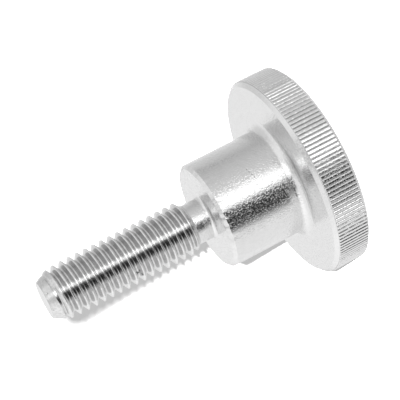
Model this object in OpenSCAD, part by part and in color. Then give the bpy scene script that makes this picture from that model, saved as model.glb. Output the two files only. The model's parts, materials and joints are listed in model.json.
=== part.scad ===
// Thumb screw, high type: a straight-knurled round head, a plain collar under it,
// a necked undercut and a threaded shank, all turned from one bar.
// It stands on the flat face of its head, with the thread pointing up along +Z.

/* [Head] */
// Diameter of the head over the crests of the knurl
head_d = 30; // [24:0.5:40]
// Thickness of the head
head_h = 5.6; // [4:0.1:10]
// Chamfer around the flat outer face of the head
outer_chamfer = 0.55; // [0.3:0.05:1.2]
// Chamfer around the face of the head that carries the collar
inner_chamfer = 0.65; // [0.3:0.05:1.2]

/* [Knurl] */
// Distance from tooth to tooth around the head
knurl_pitch = 0.6; // [0.5:0.05:1.2]
// Depth of the grooves between the teeth
knurl_depth = 0.12; // [0.08:0.01:0.2]
// Width of the flat left on the crest of each tooth
knurl_land = 0.3; // [0.1:0.01:0.4]

/* [Collar] */
// Diameter of the collar
collar_d = 15.8; // [12:0.1:20]
// Height of the collar, from the head to the face that clamps
collar_h = 12; // [8:0.25:20]
// Chamfer around the clamping face
collar_chamfer = 0.45; // [0.2:0.05:1]
// Radius of the fillet where the collar meets the head
collar_fillet = 1.2; // [0.4:0.1:1.8]

/* [Thread] */
// Diameter over the crests of the thread
thread_d = 7.8; // [6.4:0.05:10]
// Length of the shank, from the clamping face to its tip
shank_l = 25.3; // [15:0.1:60]
// Diameter of the flat at the tip
tip_d = 5.4; // [4:0.1:7]
// Angle between the axis and the chamfer at the tip
tip_angle = 28; // [20:1:45]

/* [Neck] */
// Diameter of the undercut between the collar and the thread
neck_d = 6; // [4.5:0.1:7.4]
// Length of the straight part of the undercut
neck_l = 2.6; // [1:0.1:4]
// Radius of the fillet where the neck meets the clamping face
neck_fillet = 0.5; // [0.2:0.05:0.9]
// Angle between the axis and the cone where the thread runs out
runout_angle = 45; // [20:1:60]

/* [Hidden] */
$fn = 96;

head_r = head_d / 2;
collar_r = collar_d / 2;
thread_r = thread_d / 2;
neck_r = neck_d / 2;
tip_r = tip_d / 2;

// Heights above the flat face of the head
clamp_z = head_h + collar_h;
tip_z = clamp_z + shank_l;
runout_z = clamp_z + neck_l;
thread_start_z = runout_z + (thread_r - neck_r) / tan(runout_angle);
thread_end_z = tip_z - (thread_r - tip_r) / tan(tip_angle);

// Teeth in a multiple of four, so that the head measures the same along X and Y
teeth = 4 * round(PI * head_d / (4 * knurl_pitch));
tooth_turn = 360 / teeth;
land_turn = 2 * asin(knurl_land / head_d);
// How far the cones of the head's chamfers run on past the teeth
cone_run = 1;

// Outline of the knurled rim: a flat crest and a V groove for every tooth
module knurl_outline() {
    polygon([
        for (i = [0 : teeth - 1], corner = [0 : 2])
            let (
                turn = i * tooth_turn + [-land_turn / 2, land_turn / 2, tooth_turn / 2][corner],
                r = corner == 2 ? head_r - knurl_depth : head_r
            )
            [r * cos(turn), r * sin(turn)]
    ]);
}

// Chamfers of both edges of the head, as cones that run on outside the teeth
module head_envelope() {
    rotate_extrude()
        polygon([
            [0, 0],
            [head_r - outer_chamfer, 0],
            [head_r + cone_run, outer_chamfer + cone_run],
            [head_r + cone_run, head_h - inner_chamfer - cone_run],
            [head_r - inner_chamfer, head_h],
            [0, head_h]
        ]);
}

module head() {
    intersection() {
        linear_extrude(height = head_h) knurl_outline();
        head_envelope();
    }
}

// Ring section that blends a cylinder of radius r into the flat below it
module fillet_section(r, fillet_r) {
    difference() {
        translate([r, 0]) square(fillet_r);
        translate([r + fillet_r, fillet_r]) circle(r = fillet_r);
    }
}

// Half section of the collar, the neck and the shank, from the axis outwards
module stem_section() {
    polygon([
        [0, head_h / 2],
        [collar_r, head_h / 2],
        [collar_r, clamp_z - collar_chamfer],
        [collar_r - collar_chamfer, clamp_z],
        [neck_r, clamp_z],
        [neck_r, runout_z],
        [thread_r, thread_start_z],
        [thread_r, thread_end_z],
        [tip_r, tip_z],
        [0, tip_z]
    ]);
    translate([0, head_h]) fillet_section(collar_r, collar_fillet);
    translate([0, clamp_z]) fillet_section(neck_r, neck_fillet);
}

module thumb_screw() {
    color("silver") {
        head();
        rotate_extrude() stem_section();
    }
}

thumb_screw();
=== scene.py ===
import json
import math

import bmesh
import bpy
import numpy as np
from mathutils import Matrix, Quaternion, Vector


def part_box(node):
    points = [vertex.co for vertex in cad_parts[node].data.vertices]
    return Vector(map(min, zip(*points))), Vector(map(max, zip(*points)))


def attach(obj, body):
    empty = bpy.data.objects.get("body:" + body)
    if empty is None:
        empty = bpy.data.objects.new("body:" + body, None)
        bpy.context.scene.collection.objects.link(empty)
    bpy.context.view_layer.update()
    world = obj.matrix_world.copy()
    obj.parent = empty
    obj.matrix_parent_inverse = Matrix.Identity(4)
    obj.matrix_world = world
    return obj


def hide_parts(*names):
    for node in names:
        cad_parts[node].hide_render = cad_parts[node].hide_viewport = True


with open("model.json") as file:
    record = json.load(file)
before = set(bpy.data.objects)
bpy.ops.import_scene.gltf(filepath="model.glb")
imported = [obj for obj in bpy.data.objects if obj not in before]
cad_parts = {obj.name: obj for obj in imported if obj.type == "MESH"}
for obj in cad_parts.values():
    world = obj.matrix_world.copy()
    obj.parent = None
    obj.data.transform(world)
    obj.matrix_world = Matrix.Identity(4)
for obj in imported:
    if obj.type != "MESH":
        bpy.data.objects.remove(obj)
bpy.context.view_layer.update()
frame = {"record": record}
mm = 0.001


# ---- The camera ----------------------------------------------------------------------------------
# Close up with a long lens, beside the screw and a little higher than its tip. It is turned on its
# side, so that the head is at the upper right and the thread runs to the lower left.
camera_away = 195.8 * mm
camera_height = 65.5 * mm
camera_aim = Vector((2.5, 0.0, 17.2)) * mm
camera_roll = math.radians(117.2)

camera = bpy.data.objects.new("camera", bpy.data.cameras.new("camera"))
bpy.context.scene.collection.objects.link(camera)
camera.data.lens = 130
camera.data.clip_start = 10 * mm
camera.location = (0, -camera_away, camera_height)
camera.rotation_mode = "QUATERNION"
level_look = (camera_aim - camera.location).to_track_quat("-Z", "Y")
camera.rotation_quaternion = level_look @ Quaternion((0, 0, 1), -camera_roll)
bpy.context.scene.camera = camera


# ---- The head ------------------------------------------------------------------------------------
# The thick end of the bar, faced flat on both sides and chamfered. Its rim is straight-knurled with
# a wheel that presses V grooves into the turned surface and leaves a flat on every tooth.
head_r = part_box("thumb_screw")[1].x
head_h = 5.6 * mm
outer_chamfer = 0.55 * mm
inner_chamfer = 0.65 * mm
edge_round = 0.06 * mm
teeth = 156
knurl_depth = 0.12 * mm
knurl_start = outer_chamfer - knurl_depth
knurl_end = head_h - inner_chamfer + knurl_depth
flat_share = 0.23
flat_lean = 0.005 * mm
shallowest = 0.75
lathe_steps = 240
lathe_turns = np.arange(lathe_steps) * math.tau / lathe_steps
dice = np.random.RandomState(8)


class Skin:
    """The screw's surface, grown ring by ring from the middle of the head's face to the tip."""

    def __init__(self):
        self.points = []
        self.faces = []
        self.edge = []

    def add(self, turn, r, z):
        """Adds points, by their turn about the axis from the -Y side, radius and height."""
        start = len(self.points)
        turn, r, z = np.broadcast_arrays(np.atleast_1d(turn), r, z)
        places = np.stack([r * np.sin(turn), -r * np.cos(turn), z], -1)
        self.points.extend(places.tolist())
        return list(range(start, len(self.points)))

    def ring(self, turn, r, z):
        """Adds a ring above the last one and joins the two, whatever their numbers of points."""
        self.join(list(zip(turn, self.add(turn, r, z))))

    def join(self, ring):
        """Joins the last ring to this one, given as pairs of turn and point."""
        low, high = self.edge, ring
        if len(low) == 1:
            for a, b in zip(high, high[1:] + high[:1]):
                self.faces.append((low[0][1], a[1], b[1]))
        elif len(low) > 1:
            self.zip_up(low, high)
        self.edge = ring

    def zip_up(self, low, high):
        """Fills the band between two rings, taking the next point of whichever ring is behind."""
        low = low + [(low[0][0] + math.tau, low[0][1])]
        high = high + [(high[0][0] + math.tau, high[0][1])]
        i = j = 0
        while i < len(low) - 1 or j < len(high) - 1:
            next_low = low[i + 1][0] if i < len(low) - 1 else math.inf
            next_high = high[j + 1][0] if j < len(high) - 1 else math.inf
            if abs(next_low - next_high) < 1e-9:
                self.faces.append((low[i][1], low[i + 1][1], high[j + 1][1], high[j][1]))
                i, j = i + 1, j + 1
            elif next_low < next_high:
                self.faces.append((low[i][1], low[i + 1][1], high[j][1]))
                i += 1
            else:
                self.faces.append((low[i][1], high[j + 1][1], high[j][1]))
                j += 1


def rounded(corners):
    """The points of a section whose corners (r, z, radius, steps) are rounded. A point on either
    side of each arc keeps the faces next to it flat."""
    places = [np.array(c[:2]) for c in corners]
    section = [places[0]]
    for before, here, after, corner in zip(places, places[1:], places[2:], corners[1:]):
        radius, steps = corner[2:]
        a = (before - here) / np.linalg.norm(before - here)
        b = (after - here) / np.linalg.norm(after - here)
        half = math.acos(np.clip(a @ b, -1, 1)) / 2
        cut = radius / math.tan(half)
        centre = here + (a + b) / np.linalg.norm(a + b) * radius / math.sin(half)
        first, last = here + a * cut, here + b * cut
        hold = 0.05 * mm
        section.append(first + a * hold)
        for k in range(steps + 1):
            chord = first + (last - first) * k / steps
            out = chord - centre
            section.append(centre + out / np.linalg.norm(out) * radius)
        section.append(last + b * hold)
    section.append(places[-1])
    return section


def turned(skin, section):
    """Grows plain turned rings through the points of a section."""
    for r, z in section:
        skin.ring(lathe_turns, r, z)


skin = Skin()
skin.join([(0.0, skin.add(0.0, 0.0, 0.0)[0])])
chamfer_foot = head_r - outer_chamfer
for r in (1 * mm, 4 * mm, 8 * mm, 12 * mm, chamfer_foot - 0.5 * mm):
    skin.ring(lathe_turns, r, 0.0)
turned(skin, rounded([
    (chamfer_foot - 0.2 * mm, 0.0),
    (chamfer_foot, 0.0, edge_round, 3),
    (chamfer_foot + knurl_start - 0.03 * mm, knurl_start - 0.03 * mm),
]))

# One tooth, from the middle of its flat to the middle of the next groove: shares of the tooth's
# pitch, and the share of the groove's depth there. The wheel leaves corners and roots a bit round.
half_tooth = [(0.0, 0.0), (flat_share, 0.0), (0.27, 0.03), (0.32, 0.16), (0.43, 0.84), (0.48, 0.99)]
whole_tooth = half_tooth + [(1 - share, depth) for share, depth in half_tooth[:0:-1]]
tooth_shares, tooth_depths = np.array(whole_tooth).T
pressed = 1 - (1 - shallowest) * dice.rand(teeth, 1) ** 2
knurl_turns = ((np.arange(teeth)[:, None] + tooth_shares) / teeth * math.tau).ravel()

# The flats lean a little, so that each tooth shines differently. The second half of a pitch is the
# near side of the next tooth's flat.
lean = dice.normal(0, flat_lean, (teeth, 1))
next_lean = np.roll(lean, -1)
this_flat = abs(lean) + lean * np.clip(tooth_shares / flat_share, 0, 1)
next_flat = abs(next_lean) - next_lean * np.clip((1 - tooth_shares) / flat_share, 0, 1)
leaning = np.where(tooth_shares < 0.5, this_flat, next_flat)
knurl_cuts = (knurl_depth * pressed * tooth_depths + leaning).ravel()


def knurl_rings(skin, start, end):
    """Rings of the rim: the teeth, cut down to the chamfers' cones near both faces of the head."""
    for z in np.linspace(start, end, 5):
        cone = min(chamfer_foot + z, head_r - inner_chamfer + head_h - z, head_r)
        skin.ring(knurl_turns, np.minimum(head_r - knurl_cuts, cone), z)


knurl_rings(skin, knurl_start, outer_chamfer + 0.02 * mm)
knurl_rings(skin, outer_chamfer + 0.1 * mm, head_h - inner_chamfer - 0.1 * mm)
knurl_rings(skin, head_h - inner_chamfer - 0.02 * mm, knurl_end)


# ---- The collar ----------------------------------------------------------------------------------
# A plain cylinder turned with the head, with a fillet at its foot and a chamfered flat end that
# bears on the clamped part. The neck is undercut into that end, for the thread to run out.
collar_r = 7.9 * mm
collar_fillet = 1.2 * mm
collar_chamfer = 0.45 * mm
mounts = {mount["name"]: mount for mount in frame["record"]["mounts"]}
clamp_z = mounts["clamp_face"]["pos_m"][2]
neck_r = 3.0 * mm
neck_l = 2.6 * mm
neck_fillet = 0.5 * mm
knock_count = 26
knock_height = 0.15 * mm
knock_width = 0.6 * mm
knock_fade = 0.1 * mm

turned(skin, rounded([
    (head_r - knurl_depth - 0.03 * mm, knurl_end + 0.03 * mm),
    (head_r - inner_chamfer, head_h, edge_round, 3),
    (head_r - inner_chamfer - 1.5 * mm, head_h),
]))
turned(skin, rounded([
    (11.5 * mm, head_h),
    (collar_r, head_h, collar_fillet, 12),
    (collar_r, head_h + 3 * mm),
]))
for z in (11 * mm, 13.5 * mm, clamp_z - 1.5 * mm):
    skin.ring(lathe_turns, collar_r, z)

# Small knocks on the collar's edge, each a dent one or two steps wide. They are closest together
# on the -Y side.
knocks = np.zeros(lathe_steps)
for knock in range(knock_count):
    side = dice.normal(-0.2, 0.9) if knock % 2 else dice.uniform(-math.pi, math.pi)
    hit = round(side / math.tau * lathe_steps)
    depth = dice.uniform(0.02, 0.08) * mm
    knocks[hit % lathe_steps] = depth
    knocks[(hit + 1) % lathe_steps] = depth * dice.rand()
for r, z in rounded([
    (collar_r, clamp_z - 0.9 * mm),
    (collar_r, clamp_z - collar_chamfer, edge_round, 3),
    (collar_r - collar_chamfer, clamp_z, edge_round, 3),
    (collar_r - 1.2 * mm, clamp_z),
])[1:-1]:
    from_below = (z - clamp_z + collar_chamfer + knock_height) / knock_fade
    from_inside = (r - collar_r + knock_width) / knock_fade
    dent = knocks * np.clip(min(from_below, from_inside), 0, 1)
    skin.ring(lathe_turns, r - dent, z - dent)
skin.ring(lathe_turns, collar_r - 1.2 * mm, clamp_z)
turned(skin, rounded([
    (4.5 * mm, clamp_z),
    (neck_r, clamp_z, neck_fillet, 8),
    (neck_r, clamp_z + 1.2 * mm),
]))


# ---- The thread ----------------------------------------------------------------------------------
# The thin end of the bar, with a right-hand thread that runs out into the neck. Near the tip its
# crests are a little low and its last groove is part-filled. The tip is chamfered to below the
# thread's root and faced flat.
thread_r = mounts["thread"]["dims"]["r_mm"] * mm
thread_pitch = 1.25 * mm
root_r = 3.12 * mm
tip_r = 2.7 * mm
tip_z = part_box("thumb_screw")[1].z
tip_slope = math.tan(math.radians(28))
runout_slope = math.tan(math.radians(45))
lead_in = 5.4 * mm
lead_loss = 0.2 * mm
crest_wear = 0.008 * mm
last_groove_fill = 0.22 * mm
last_groove_z = tip_z - 1.5 * mm
last_groove_reach = 0.6 * mm
facing_crest_z = 30.85 * mm
thread_columns = 144
flank_slope = math.tan(math.radians(30))
corner_round = 0.014 * mm
crest_half = 0.055 * mm / thread_pitch
flank_run = (thread_r - root_r) * flank_slope / thread_pitch

# Shares of the pitch at which the thread has a row of points, up from the middle of a crest to the
# middle of the root.
half_rows = [0, crest_half * 0.6, crest_half * 0.9, crest_half * 1.1]
half_rows += [crest_half + flank_run * share for share in (0.2, 0.4, 0.6, 0.8, 0.95)]
half_rows += [(half_rows[-1] + 0.5) / 2, 0.5]
pitch_rows = half_rows + [1 - share for share in half_rows[-2:0:-1]]


def thread_depth(share):
    """How deep the groove is at a share of the pitch from the middle of a crest, with the crest's
    corners and the root rounded."""
    off = abs((share + 0.5) % 1 - 0.5)
    straight = (off - crest_half) * thread_pitch / flank_slope
    from_crest = corner_round * np.logaddexp(0, straight / corner_round)
    full = thread_r - root_r
    return full - corner_round * np.logaddexp(0, (full - from_crest) / corner_round)


def ripple(turn, share):
    """A slow unevenness between -1 and 1 that runs round the thread without a seam."""
    along = share * 2.3 + turn / math.tau * 2.3
    return (np.sin(along * 3.1 + 1) + np.sin(along * 7.7 + 2) + np.sin(along * 17.3 + 3)) / 3


neck_top = clamp_z + neck_l
thread_turns = np.arange(thread_columns) * math.tau / thread_columns
skin.ring(thread_turns, neck_r, neck_top - 0.06 * mm)
bottom = skin.add(thread_turns, neck_r, neck_top)
skin.join(list(zip(thread_turns, bottom)))
top = skin.add(thread_turns, tip_r, tip_z)
first_turn = math.floor((neck_top - facing_crest_z) / thread_pitch) - 1
last_turn = math.ceil((tip_z - facing_crest_z) / thread_pitch)
shares = np.array([turn + row for turn in range(first_turn, last_turn + 1) for row in pitch_rows])

# Each row of the grid climbs a pitch in one turn. Below the neck's top and above the tip, it takes
# the points of the plain rings there instead of its own.
grid = np.zeros((len(shares), thread_columns), int)
for row, share in enumerate(shares):
    z = facing_crest_z + thread_pitch * (share + thread_turns / math.tau)
    from_lead = np.clip((z - (tip_z - lead_in)) / lead_in, 0, 1)
    worn = lead_loss * from_lead ** 2 + crest_wear * (1 + ripple(thread_turns, share))
    filled = last_groove_fill * np.clip(1 - abs(z - last_groove_z) / last_groove_reach, 0, 1)
    r = thread_r - np.maximum(thread_depth(share) - filled, worn)
    r = np.minimum(r, tip_r + (tip_z - z) * tip_slope)
    r = np.minimum(r, neck_r + np.maximum(z - neck_top, 0) * runout_slope)
    made = skin.add(thread_turns, r, z)
    grid[row] = np.where(z <= neck_top, bottom, np.where(z >= tip_z, top, made))


def thread_point(row, column):
    """The point of the thread's grid, where a row that has gone once round is a pitch higher."""
    if column == thread_columns:
        row, column = row + len(pitch_rows), 0
    if row < 0:
        return bottom[column]
    if row >= len(shares):
        return top[column]
    return grid[row, column]


for row in range(-len(pitch_rows), len(shares)):
    for column in range(thread_columns):
        quad = []
        for up, along in ((0, 0), (0, 1), (1, 1), (1, 0)):
            point = thread_point(row + up, column + along)
            if point not in quad:
                quad.append(point)
        if len(quad) > 2:
            skin.faces.append(tuple(quad))

# The flat face of the tip
skin.edge = list(zip(thread_turns, top))
for r in (tip_r - 0.1 * mm, 2 * mm, 1 * mm):
    skin.ring(lathe_turns, r, tip_z)
middle = skin.add(0.0, 0.0, tip_z)[0]
for a, b in zip(skin.edge, skin.edge[1:] + skin.edge[:1]):
    skin.faces.append((a[1], b[1], middle))

# The finished mesh, without the points of the grid that no face uses
mesh = bpy.data.meshes.new("turned_screw")
mesh.from_pydata(skin.points, [], skin.faces)
shape = bmesh.new()
shape.from_mesh(mesh)
bmesh.ops.delete(shape, geom=[v for v in shape.verts if not v.link_faces], context="VERTS")
bmesh.ops.recalc_face_normals(shape, faces=shape.faces)
for face in shape.faces:
    face.smooth = True
shape.to_mesh(mesh)
shape.free()
screw = bpy.data.objects.new("turned_screw", mesh)
bpy.context.scene.collection.objects.link(screw)


# ---- The steel -----------------------------------------------------------------------------------
# Bright free-cutting steel straight from the lathe, without plating. The tool leaves fine rings
# around the axis, and handling leaves small specks and scuffs.
finish_depth = 0.022 * mm
rings_a_metre = 9000
# Painted shade: how much darker the colour is deep in the thread's grooves
groove_painted_shade = 0.16
# Painted shade: how much darker the colour is deep between the knurl's teeth
knurl_painted_shade = 0.25


class Shade:
    """A value in a node tree. Expressions on such values add the Math nodes."""

    tree = None

    def __init__(self, socket):
        self.socket = socket

    @staticmethod
    def node(kind, settings=None, sockets=None, out=0):
        """Adds a node of any type, first its settings and then what its sockets are fed."""
        made = Shade.tree.nodes.new(kind)
        for name, value in (settings or {}).items():
            if name == "stops":
                ramp = made.color_ramp
                while len(ramp.elements) < len(value):
                    ramp.elements.new(0.5)
                for element, (place, level) in zip(ramp.elements, value):
                    element.position = place
                    element.color = (level, level, level, 1)
            else:
                setattr(made, name, value)
        for name, value in (sockets or {}).items():
            if isinstance(value, Shade):
                Shade.tree.links.new(value.socket, made.inputs[name])
            else:
                made.inputs[name].default_value = value
        return Shade(made.outputs[out])

    @staticmethod
    def work(operation, a, b=0.0):
        return Shade.node("ShaderNodeMath", {"operation": operation}, {0: a, 1: b})

    def __add__(self, other):
        return Shade.work("ADD", self, other)

    __radd__ = __add__

    def __sub__(self, other):
        return Shade.work("SUBTRACT", self, other)

    def __rsub__(self, other):
        return Shade.work("SUBTRACT", other, self)

    def __mul__(self, other):
        return Shade.work("MULTIPLY", self, other)

    __rmul__ = __mul__

    def __truediv__(self, other):
        return Shade.work("DIVIDE", self, other)


def new_material(name):
    material = bpy.data.materials.new(name)
    material.use_nodes = True
    material.node_tree.nodes.clear()
    Shade.tree = material.node_tree
    return material


def to_output(kind, shader):
    """Ends the tree with its output node."""
    Shade.tree.links.new(shader.socket, Shade.tree.nodes.new(kind).inputs["Surface"])


def fade(value, start, end, curve="SMOOTHSTEP"):
    """Runs from 0 to 1 as a value goes from start to end."""
    return Shade.node("ShaderNodeMapRange", {"interpolation_type": curve}, {
        "Value": value, "From Min": start, "From Max": end,
    })


def noise(vector, scale, detail, rough=0.5):
    return Shade.node("ShaderNodeTexNoise", {}, {
        "Vector": vector, "Scale": scale, "Detail": detail, "Roughness": rough,
    })


steel = new_material("turned_steel")
place = Shade.node("ShaderNodeTexCoord", out="Object")
x, y, z = (Shade.node("ShaderNodeSeparateXYZ", sockets={"Vector": place}, out=axis) for axis in "XYZ")
around = Shade.work("ARCTAN2", x, y)
radius = Shade.work("SQRT", x * x + y * y)
in_thread = Shade.work("GREATER_THAN", z, neck_top + 0.5 * mm)
in_neck = Shade.work("LESS_THAN", radius, neck_r + 0.1 * mm) * (1 - in_thread)
in_groove = fade(radius, thread_r - 0.05 * mm, thread_r - 0.3 * mm, "LINEAR") * in_thread
on_rim = Shade.work("GREATER_THAN", radius, head_r - knurl_depth - 0.01 * mm)
in_knurl = fade(radius, head_r - 0.03 * mm, head_r - 0.08 * mm, "LINEAR") * on_rim

# Rings from the tool change fast across the axis and along it, and slowly around it. Pits are the
# deepest parts of a fine grain.
ring_place = Shade.node("ShaderNodeCombineXYZ", sockets={
    "X": radius * rings_a_metre, "Y": z * rings_a_metre, "Z": around * 0.6,
})
rings = noise(ring_place, 1.0, 3.0)
pits = fade(noise(place, 4500.0, 2.0, 0.6), 0.5, 0.78, "LINEAR")
scuffs = noise(place, 1400.0, 4.0, 0.6)
mottle = noise(place, 3000.0, 3.0, 0.7)


def spot(turn, r, z, reach):
    """A small round mark on the surface, 1 in its middle, by its turn in degrees from the -Y side."""
    turn = math.radians(turn)
    centre = (r * math.sin(turn), -r * math.cos(turn), z)
    off = Shade.node("ShaderNodeVectorMath", {"operation": "DISTANCE"}, {0: place, 1: centre}, "Value")
    return fade(off, reach, reach * 0.3)


# A nick that runs round the collar, two dark specks in the thread and two pits on the tip's chamfer
nick = 0.0
for step in range(4):
    nick = nick + spot(24 - 3.5 * step, collar_r, (11.2 - 0.12 * step) * mm, 0.14 * mm)
specks = spot(-52, 3.15 * mm, 30.1 * mm, 0.3 * mm) + spot(-55, 3.6 * mm, 29.65 * mm, 0.28 * mm)
tip_pits = spot(-37, 2.8 * mm, 42.7 * mm, 0.17 * mm) + spot(13, 2.9 * mm, 42.5 * mm, 0.17 * mm)

# The thread is smoother than the rest
height = (rings * 0.1 - pits) * (1 - 0.85 * in_thread) - nick * 2.0 - tip_pits
bump = Shade.node("ShaderNodeBump", {}, {"Height": height, "Distance": finish_depth, "Strength": 1.0})

# Grease and dust lie unevenly on the thread and fill the marks. The grooves of the thread and of the
# knurl are darkened with painted shade.
dirt = nick * 0.3 + specks * 0.9 + tip_pits * 0.25
clean = (0.62 + scuffs * 0.1) * (1 + 0.7 * (mottle - 0.5) * in_thread)
level = clean * (1 - groove_painted_shade * in_groove) * (1 - knurl_painted_shade * in_knurl) * (1 - dirt)
black, white = (0, 0, 0, 1), (1, 1, 1, 1)
tint = Shade.node("ShaderNodeMix", {"data_type": "RGBA"}, {0: level, 6: black, 7: white}, out=2)
to_output("ShaderNodeOutputMaterial", Shade.node("ShaderNodeBsdfPrincipled", {}, {
    "Base Color": tint,
    "Metallic": 1.0,
    "Roughness": 0.06 + scuffs * 0.1 + in_neck * 0.1,
    "Normal": bump,
}))
mesh.materials.append(steel)

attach(screw, "root")
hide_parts("thumb_screw")


# ---- The studio ----------------------------------------------------------------------------------
# A pale floor under one soft lamp that gives the shadow. The room around it is white, with a dark
# gap and a bright window side by side. The screw mirrors the room only, not the floor or the lamp.
floor_half = 3.0
floor_grey = (0.48, 0.48, 0.48, 1)
lamp_place = Vector((2.2, -165.0, 64.0)) * mm
lamp_radius = 1.2 * mm
lamp_strength = 900.0
window = 2.8

floor_mesh = bpy.data.meshes.new("floor")
corners = [(x * floor_half, y * floor_half, 0) for x, y in ((-1, -1), (1, -1), (1, 1), (-1, 1))]
floor_mesh.from_pydata(corners, [], [(0, 1, 2, 3)])
floor = bpy.data.objects.new("floor", floor_mesh)
bpy.context.scene.collection.objects.link(floor)
floor_paint = new_material("floor_paint")
paint = Shade.node("ShaderNodeBsdfDiffuse", {}, {"Color": floor_grey})
to_output("ShaderNodeOutputMaterial", paint)
floor_mesh.materials.append(floor_paint)
floor.visible_glossy = False

lamp = bpy.data.objects.new("lamp", bpy.data.lights.new("lamp", "POINT"))
bpy.context.scene.collection.objects.link(lamp)
lamp.location = lamp_place
lamp.data.energy = 1.0
lamp.data.shadow_soft_size = lamp_radius
lamp.visible_glossy = False

# The lamp is as strong on the far floor as near by
lamp.data.use_nodes = True
lamp.data.node_tree.nodes.clear()
Shade.tree = lamp.data.node_tree
even = Shade.node("ShaderNodeLightFalloff", {}, {"Strength": lamp_strength}, out="Constant")
to_output("ShaderNodeOutputLight", Shade.node("ShaderNodeEmission", {}, {"Strength": even}))

world = bpy.data.worlds.new("room")
bpy.context.scene.world = world
world.use_nodes = True
world.node_tree.nodes.clear()
Shade.tree = world.node_tree
look = Shade.node("ShaderNodeTexCoord", out="Generated")
x, y, z = (Shade.node("ShaderNodeSeparateXYZ", sockets={"Vector": look}, out=axis) for axis in "XYZ")
bearing = Shade.work("ARCTAN2", x, 0 - y) / math.tau + 0.5


def wall(levels):
    """Brightness around the room, from pairs of bearing and level. A bearing is in degrees from -Y,
    where the camera stands, towards +X."""
    stops = [((turn + 180) / 360, level / window) for turn, level in levels]
    return Shade.node("ShaderNodeValToRGB", {"stops": stops}, {"Fac": bearing}) * window


low_wall = wall([
    (-180, 0.95), (-165, 0.85), (-150, 1.1), (-65, 1.1), (-50, 0.3), (-42, 0.06), (-22, 0.04),
    (-10, 0.22), (6, window), (12, window), (18, 1.5), (30, 0.9), (80, 0.7), (98, 0.56), (110, 0.75),
    (140, 0.9), (165, 1.1), (180, 0.95),
])
high_wall = wall([
    (-180, 1.1), (-100, 1.4), (-50, 1.5), (-28, 0.3), (-15, 0.2), (-7, 0.5), (6, window),
    (15, window), (20, 1.5), (28, 1.0), (60, 1.25), (90, 0.85), (140, 0.85), (165, 1.1), (180, 1.1),
])
upper = fade(z, 0.0, 0.25)
walls = low_wall * (1 - upper) + high_wall * upper

# The ceiling has a greyer patch a little in front of its middle, and the room is even below
off_x, off_y = x - 0.1, y + 0.25
off_patch = Shade.work("SQRT", off_x * off_x + off_y * off_y)
ceiling = 0.72 + 0.42 * fade(off_patch, 0.14, 0.34)
over = fade(z, 0.5, 0.85)
under = fade(0 - z, 0.75, 0.95)
level = (walls * (1 - over) + ceiling * over) * (1 - under) + under * 0.85
room = Shade.node("ShaderNodeBackground", {}, {"Color": white, "Strength": level})
to_output("ShaderNodeOutputWorld", room)

bpy.context.scene.view_settings.view_transform = "Standard"
bpy.context.scene.view_settings.look = "None"
